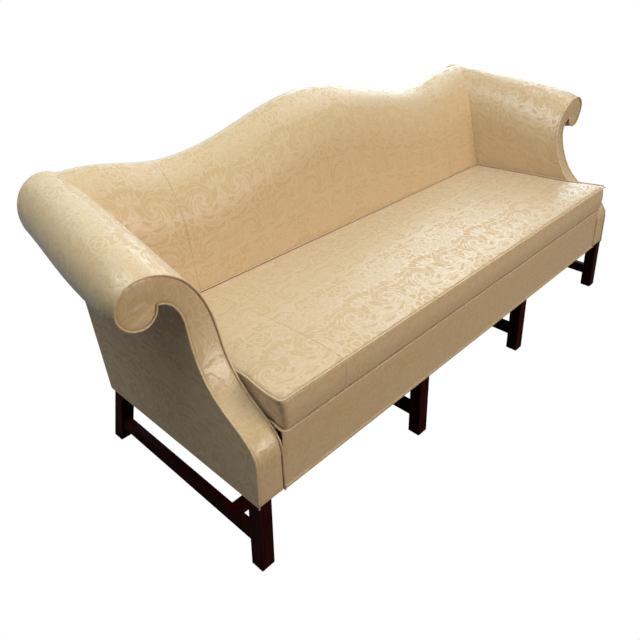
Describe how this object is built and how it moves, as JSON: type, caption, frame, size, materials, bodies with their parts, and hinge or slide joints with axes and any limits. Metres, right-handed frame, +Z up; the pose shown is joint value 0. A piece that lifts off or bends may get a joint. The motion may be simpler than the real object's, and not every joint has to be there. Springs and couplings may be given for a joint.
{
  "type": "camelback sofa",
  "caption": "Camelback sofa with outscrolled arms, serpentine crest, one long loose seat cushion, square legs and stretchers, in tone-on-tone damask.",
  "frame": {"origin": "middle of the footprint, on the floor", "axes": "+X along the sofa, +Y from the front to the back, +Z up"},
  "size_m": [2.225, 0.8496, 0.896],
  "materials": {
    "damask": "satin tone-on-tone damask, pale gold",
    "mahogany": "dark red-brown, low sheen",
    "frame_wood": "plain sawn hardwood",
    "stuffing": "layered stuffing and wadding",
    "deck_cotton": "plain cotton platform cloth",
    "jute": "woven jute webbing",
    "dust_cloth": "thin black cambric",
    "screw_steel": "plain steel"
  },
  "bodies": {
    "sofa": {"arm_facing_left": "damask", "arm_facing_right": "damask", "arm_padding_left": "stuffing", "arm_padding_right": "stuffing", "arm_stump_left": "frame_wood", "arm_stump_right": "frame_wood", "arm_tack_rail_left": "frame_wood", "arm_tack_rail_right": "frame_wood", "arm_top_rail_left": "frame_wood", "arm_top_rail_right": "frame_wood", "back_padding": "stuffing", "back_post_left": "frame_wood", "back_post_right": "frame_wood", "back_tack_rails": "frame_wood", "back_upright_left": "frame_wood", "back_upright_right": "frame_wood", "back_webbing": "jute", "corner_block_screws": "screw_steel", "corner_blocks": "frame_wood", "cover_front_band": "damask", "cover_inside_arm_left": "damask", "cover_inside_arm_right": "damask", "cover_inside_back": "damask", "cover_outside_arm_left": "damask", "cover_outside_arm_right": "damask", "cover_outside_back": "damask", "crest_rail": "frame_wood", "deck_cloth": "deck_cotton", "deck_padding": "stuffing", "dust_cover": "dust_cloth", "leg_front_left": "mahogany", "leg_front_mid_left": "mahogany", "leg_front_mid_right": "mahogany", "leg_front_right": "mahogany", "leg_rear_left": "mahogany", "leg_rear_mid_left": "mahogany", "leg_rear_mid_right": "mahogany", "leg_rear_right": "mahogany", "seat_brace_left": "frame_wood", "seat_brace_right": "frame_wood", "seat_cross_webbing": "jute", "seat_rail_front": "frame_wood", "seat_rail_left": "frame_wood", "seat_rail_rear": "frame_wood", "seat_rail_right": "frame_wood", "seat_webbing": "jute", "stretcher_long_centre": "mahogany", "stretcher_long_left": "mahogany", "stretcher_long_right": "mahogany", "stretcher_side_left": "mahogany", "stretcher_side_mid_left": "mahogany", "stretcher_side_mid_right": "mahogany", "stretcher_side_right": "mahogany"},
    "cushion": {"seat_cushion": "damask", "cushion_welt_top": "damask", "cushion_welt_bottom": "damask"}
  },
  "joints": [
    {"name": "cushion_lift", "type": "slide", "parent": "sofa", "child": "cushion", "axis": [0, 0, 1], "range_m": [0, 0.3]}
  ]
}
